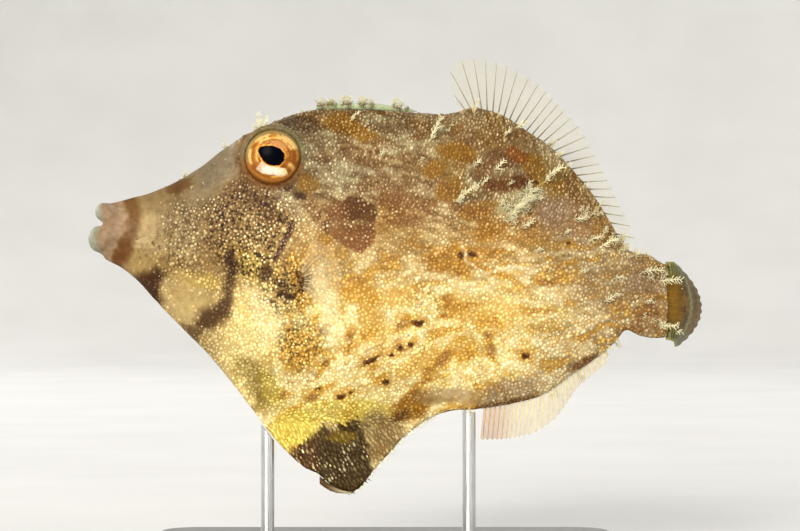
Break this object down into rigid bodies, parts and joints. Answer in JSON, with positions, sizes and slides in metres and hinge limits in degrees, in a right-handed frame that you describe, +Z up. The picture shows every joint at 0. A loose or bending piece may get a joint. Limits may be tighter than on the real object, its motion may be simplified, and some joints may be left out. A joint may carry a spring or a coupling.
{
  "type": "aiptasia-eating filefish",
  "caption": "Still, life-size filefish with a folded dorsal spine, a deep belly flap and skin threads, held above a flat display stand by rods.",
  "frame": {"origin": "centre of the underside of the display stand's base", "axes": "+Z up out of the base; the fish's length runs along X with its snout towards -X and its left side towards -Y"},
  "size_m": [0.0945, 0.042, 0.0772],
  "materials": {
    "head_skin": "soft prickly skin, mottled tan and brown, satin",
    "trunk_skin": "velvety skin with pale papillae, tan to yellow, satin",
    "flap_skin": "thin skin over the pelvic bone, dark brown and yellow",
    "pelvic_scale": "spiny pale scale",
    "spine": "pale green spine with brown bands and skin threads",
    "clear_fin": "thin clear fin skin with pale rays",
    "tail_fin": "olive fin skin with dark bars",
    "eye": "wet golden iris round a dark pupil",
    "stand_base": "black satin lacquer",
    "stand_rod": "brushed"
  },
  "bodies": {
    "root": {"head": "head_skin", "eye_left": "eye", "eye_right": "eye", "trunk": "trunk_skin", "ventral_flap": "flap_skin", "pelvic_rudiment": "pelvic_scale", "tail_stalk": "trunk_skin", "dorsal_spine": "spine", "soft_dorsal_fin": "clear_fin", "anal_fin": "clear_fin", "caudal_fin": "tail_fin", "pectoral_fin_left": "clear_fin", "pectoral_fin_right": "clear_fin", "stand_base": "stand_base", "stand_rod_front": "stand_rod", "stand_rod_rear": "stand_rod"}
  },
  "joints": []
}
